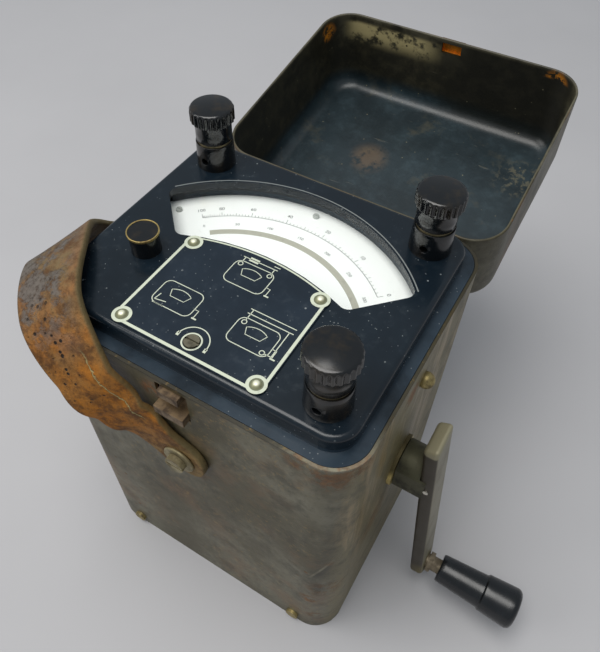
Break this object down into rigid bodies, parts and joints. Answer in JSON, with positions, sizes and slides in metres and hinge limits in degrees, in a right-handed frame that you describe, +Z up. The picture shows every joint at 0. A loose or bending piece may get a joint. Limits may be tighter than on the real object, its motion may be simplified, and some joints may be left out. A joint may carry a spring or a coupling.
{
  "type": "insulation tester",
  "caption": "Hand-cranked insulation tester in a steel carrying case: hinged lid, dial panel with screw terminals and push button, leather strap, geared generator inside",
  "frame": {"origin": "middle of the flat underside of the case", "axes": "+Z up, -Y is the front with the lid catch, +X is the side with the crank"},
  "size_m": [0.2382, 0.2711, 0.2165],
  "materials": {
    "case_paint": "worn dark olive-brown stove enamel",
    "lid_paint": "worn enamel, blue-black inside and olive-brown outside",
    "panel_bakelite": "satin navy-black moulded bakelite with dust",
    "bakelite": "gloss black-brown bakelite",
    "brass": "tarnished brass",
    "steel": "dull bare steel",
    "dark_steel": "dark bronze-grey oiled steel",
    "rusty_steel": "rust-stained plated steel",
    "dial_white": "matt white enamelled dial",
    "glass": "clear window glass",
    "plate_print": "navy enamel with pale lines",
    "leather": "worn orange-brown strap leather",
    "iron": "soft iron and magnet steel",
    "aluminium": "plain sheet aluminium",
    "copper_winding": "cotton and enamel covered winding",
    "black_paint": "matt black"
  },
  "bodies": {
    "case": {"case_shell": "case_paint", "base_plate": "case_paint", "base_screws": "rusty_steel", "top_panel": "panel_bakelite", "panel_screws": "brass", "window_glass": "glass", "dial_plate": "dial_white", "dial_screws": "steel", "name_plate": "plate_print", "name_plate_rivets": "brass", "terminal_bases": "bakelite", "terminal_studs": "brass", "case_hinge_leaves": "dark_steel", "hinge_pins": "steel", "strap_studs": "rusty_steel", "strap_washers": "rusty_steel", "crank_bush": "brass", "catch_bracket": "steel", "frame_plate_outer": "aluminium", "frame_plate_inner": "aluminium", "frame_pillars": "brass", "frame_bushes": "brass", "generator_magnet": "iron", "pole_shoes": "iron", "end_plate": "aluminium", "brush_gear": "bakelite", "meter_plate": "aluminium", "meter_magnet": "iron", "meter_core": "iron", "resistor_spools": "copper_winding", "button_contacts": "bakelite", "button_spring": "steel"},
    "lid": {"lid_shell": "lid_paint", "lid_hinge_leaves": "dark_steel"},
    "crank": {"crank_shaft": "steel", "crank_hub": "dark_steel", "crank_arm": "dark_steel", "crank_pin": "steel", "grip_spindle": "rusty_steel", "main_gear": "brass"},
    "grip": {"crank_grip": "bakelite"},
    "layshaft": {"layshaft": "steel", "layshaft_gear": "brass"},
    "rotor": {"rotor_shaft": "steel", "rotor_core": "copper_winding", "commutator": "brass"},
    "button": {"push_button": "bakelite", "button_ring": "brass"},
    "catch": {"lid_catch": "rusty_steel"},
    "zero": {"zero_adjuster": "steel"},
    "pointer": {"pointer": "black_paint", "meter_coil": "copper_winding"},
    "strap": {"carrying_strap": "leather"},
    "washer_1": {"terminal_washer_1": "brass"},
    "cap_1": {"terminal_cap_1": "bakelite"},
    "washer_2": {"terminal_washer_2": "brass"},
    "cap_2": {"terminal_cap_2": "bakelite"},
    "washer_3": {"terminal_washer_3": "brass"},
    "cap_3": {"terminal_cap_3": "bakelite"}
  },
  "joints": [
    {"name": "lid_hinge", "type": "hinge", "parent": "case", "child": "lid", "pos_m": [0, 0.0655, 0.17], "axis": [1, 0, 0], "range_deg": [0, 152]},
    {"name": "crank_turn", "type": "hinge", "parent": "case", "child": "crank", "pos_m": [0.07, -0.004, 0.106], "axis": [1, 0, 0], "continuous": true},
    {"name": "grip_spin", "type": "hinge", "parent": "crank", "child": "grip", "pos_m": [0.12, -0.004, 0.02052], "axis": [1, 0, 0], "continuous": true},
    {"name": "layshaft_turn", "type": "hinge", "parent": "case", "child": "layshaft", "pos_m": [0.035, -0.004, 0.0685], "axis": [1, 0, 0], "continuous": true},
    {"name": "rotor_turn", "type": "hinge", "parent": "case", "child": "rotor", "pos_m": [0, -0.004, 0.0385], "axis": [1, 0, 0], "continuous": true},
    {"name": "button_press", "type": "slide", "parent": "case", "child": "button", "axis": [0, 0, -1], "range_m": [0, 0.003], "stiffness_N_per_m": 400, "springref_m": -0.004, "deforming": ["button_spring"]},
    {"name": "catch_press", "type": "hinge", "parent": "case", "child": "catch", "pos_m": [0, -0.0557, 0.153], "axis": [-1, 0, 0], "range_deg": [0, 6], "stiffness_Nm_per_rad": 0.3, "springref_deg": -6.88},
    {"name": "terminal_lift_1", "type": "slide", "parent": "case", "child": "washer_1", "axis": [0, 0, 1], "range_m": [0, 0.0014]},
    {"name": "terminal_turn_1", "type": "hinge", "parent": "washer_1", "child": "cap_1", "pos_m": [-0.0505, 0.041, 0.204], "axis": [0, 0, 1], "range_deg": [0, 720]},
    {"name": "terminal_lift_2", "type": "slide", "parent": "case", "child": "washer_2", "axis": [0, 0, 1], "range_m": [0, 0.0014]},
    {"name": "terminal_turn_2", "type": "hinge", "parent": "washer_2", "child": "cap_2", "pos_m": [0.0505, 0.041, 0.204], "axis": [0, 0, 1], "range_deg": [0, 720]},
    {"name": "terminal_lift_3", "type": "slide", "parent": "case", "child": "washer_3", "axis": [0, 0, 1], "range_m": [0, 0.0014]},
    {"name": "terminal_turn_3", "type": "hinge", "parent": "washer_3", "child": "cap_3", "pos_m": [0.0505, -0.0403, 0.204], "axis": [0, 0, 1], "range_deg": [0, 720]},
    {"name": "zero_turn", "type": "hinge", "parent": "case", "child": "zero", "pos_m": [0, -0.0446, 0.188], "axis": [0, 0, 1], "range_deg": [-90, 90]},
    {"name": "pointer_swing", "type": "hinge", "parent": "case", "child": "pointer", "pos_m": [0, -0.028, 0.181], "axis": [0, 0, 1], "range_deg": [-112, 0]},
    {"name": "strap_swing", "type": "hinge", "parent": "case", "child": "strap", "pos_m": [0, 0, 0.134], "axis": [0, 1, 0], "range_deg": [0, 6]}
  ],
  "couplings": [
    {"joint": "layshaft_turn", "follows": "crank_turn", "ratio": -4},
    {"joint": "rotor_turn", "follows": "crank_turn", "ratio": 16},
    {"joint": "terminal_turn_1", "follows": "terminal_lift_1", "rad_per_m": 8975.9},
    {"joint": "terminal_turn_2", "follows": "terminal_lift_2", "rad_per_m": 8975.9},
    {"joint": "terminal_turn_3", "follows": "terminal_lift_3", "rad_per_m": 8975.9}
  ]
}
